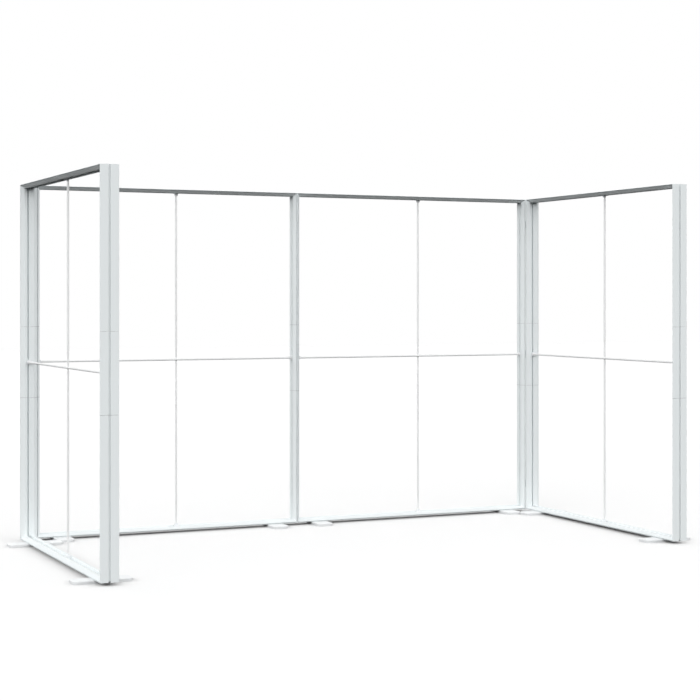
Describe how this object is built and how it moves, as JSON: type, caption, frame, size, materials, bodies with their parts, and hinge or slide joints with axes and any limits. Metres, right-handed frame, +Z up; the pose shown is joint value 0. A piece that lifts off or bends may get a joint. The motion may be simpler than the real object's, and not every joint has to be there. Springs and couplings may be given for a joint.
{
  "type": "lightbox display wall",
  "caption": "U-shaped free-standing display wall of open white lightbox frames, with slotted hollow profile, slim stabiliser bars and swivelling feet.",
  "frame": {"origin": "on the floor, at the middle of the stand's footprint with its feet", "axes": "+X along the back wall to the right as seen from the open side, +Y from the open side to the back wall, +Z up"},
  "size_m": [4.5, 2.25, 2.52],
  "materials": {
    "frame_profile": "satin white powder coat on extruded aluminium",
    "bar_tube": "satin white coat on flat aluminium tube",
    "foot_plate": "matt white powder coat on cast aluminium",
    "clip_plastic": "matt white moulding",
    "joining_metal": "mill finish",
    "link_metal": "anodised, natural",
    "pivot_steel": "zinc plated",
    "light_strip": "clear lens bar on white board",
    "supply_case": "fine-grained white case"
  },
  "bodies": {
    "frames": {"back_left_bottom_rail": "frame_profile", "back_left_left_post_lower": "frame_profile", "back_left_left_post_middle": "frame_profile", "back_left_left_post_upper": "frame_profile", "back_left_level_bar": "bar_tube", "back_left_right_post_lower": "frame_profile", "back_left_right_post_middle": "frame_profile", "back_left_right_post_upper": "frame_profile", "back_left_top_rail": "frame_profile", "back_left_upright_bar": "bar_tube", "back_right_bottom_rail": "frame_profile", "back_right_left_post_lower": "frame_profile", "back_right_left_post_middle": "frame_profile", "back_right_left_post_upper": "frame_profile", "back_right_level_bar": "bar_tube", "back_right_right_post_lower": "frame_profile", "back_right_right_post_middle": "frame_profile", "back_right_right_post_upper": "frame_profile", "back_right_top_rail": "frame_profile", "back_right_upright_bar": "bar_tube", "bar_clips": "clip_plastic", "corner_brackets": "joining_metal", "corner_links": "link_metal", "foot_pivot_blocks": "pivot_steel", "left_wall_back_post_lower": "frame_profile", "left_wall_back_post_middle": "frame_profile", "left_wall_back_post_upper": "frame_profile", "left_wall_bottom_rail": "frame_profile", "left_wall_front_post_lower": "frame_profile", "left_wall_front_post_middle": "frame_profile", "left_wall_front_post_upper": "frame_profile", "left_wall_level_bar": "bar_tube", "left_wall_top_rail": "frame_profile", "left_wall_upright_bar": "bar_tube", "light_strips": "light_strip", "power_supplies": "supply_case", "right_wall_back_post_lower": "frame_profile", "right_wall_back_post_middle": "frame_profile", "right_wall_back_post_upper": "frame_profile", "right_wall_bottom_rail": "frame_profile", "right_wall_front_post_lower": "frame_profile", "right_wall_front_post_middle": "frame_profile", "right_wall_front_post_upper": "frame_profile", "right_wall_level_bar": "bar_tube", "right_wall_top_rail": "frame_profile", "right_wall_upright_bar": "bar_tube", "seam_links": "link_metal", "splices": "joining_metal"},
    "left_wall_front_foot": {"left_wall_front_foot": "foot_plate"},
    "left_wall_back_foot": {"left_wall_back_foot": "foot_plate"},
    "back_left_left_foot": {"back_left_left_foot": "foot_plate"},
    "back_left_right_foot": {"back_left_right_foot": "foot_plate"},
    "back_right_left_foot": {"back_right_left_foot": "foot_plate"},
    "back_right_right_foot": {"back_right_right_foot": "foot_plate"},
    "right_wall_back_foot": {"right_wall_back_foot": "foot_plate"},
    "right_wall_front_foot": {"right_wall_front_foot": "foot_plate"}
  },
  "joints": [
    {"name": "left_wall_front_foot_swivel", "type": "hinge", "parent": "frames", "child": "left_wall_front_foot", "pos_m": [-2.06, -0.945, 0.01], "axis": [0, 0, 1], "range_deg": [0, 90]},
    {"name": "left_wall_back_foot_swivel", "type": "hinge", "parent": "frames", "child": "left_wall_back_foot", "pos_m": [-2.06, 0.695, 0.01], "axis": [0, 0, 1], "range_deg": [-90, 0]},
    {"name": "back_left_left_foot_swivel", "type": "hinge", "parent": "frames", "child": "back_left_left_foot", "pos_m": [-1.82, 0.935, 0.01], "axis": [0, 0, 1], "range_deg": [0, 90]},
    {"name": "back_left_right_foot_swivel", "type": "hinge", "parent": "frames", "child": "back_left_right_foot", "pos_m": [-0.18, 0.935, 0.01], "axis": [0, 0, 1], "range_deg": [-90, 0]},
    {"name": "back_right_left_foot_swivel", "type": "hinge", "parent": "frames", "child": "back_right_left_foot", "pos_m": [0.18, 0.935, 0.01], "axis": [0, 0, 1], "range_deg": [0, 90]},
    {"name": "back_right_right_foot_swivel", "type": "hinge", "parent": "frames", "child": "back_right_right_foot", "pos_m": [1.82, 0.935, 0.01], "axis": [0, 0, 1], "range_deg": [-90, 0]},
    {"name": "right_wall_back_foot_swivel", "type": "hinge", "parent": "frames", "child": "right_wall_back_foot", "pos_m": [2.06, 0.695, 0.01], "axis": [0, 0, 1], "range_deg": [0, 90]},
    {"name": "right_wall_front_foot_swivel", "type": "hinge", "parent": "frames", "child": "right_wall_front_foot", "pos_m": [2.06, -0.945, 0.01], "axis": [0, 0, 1], "range_deg": [-90, 0]}
  ]
}
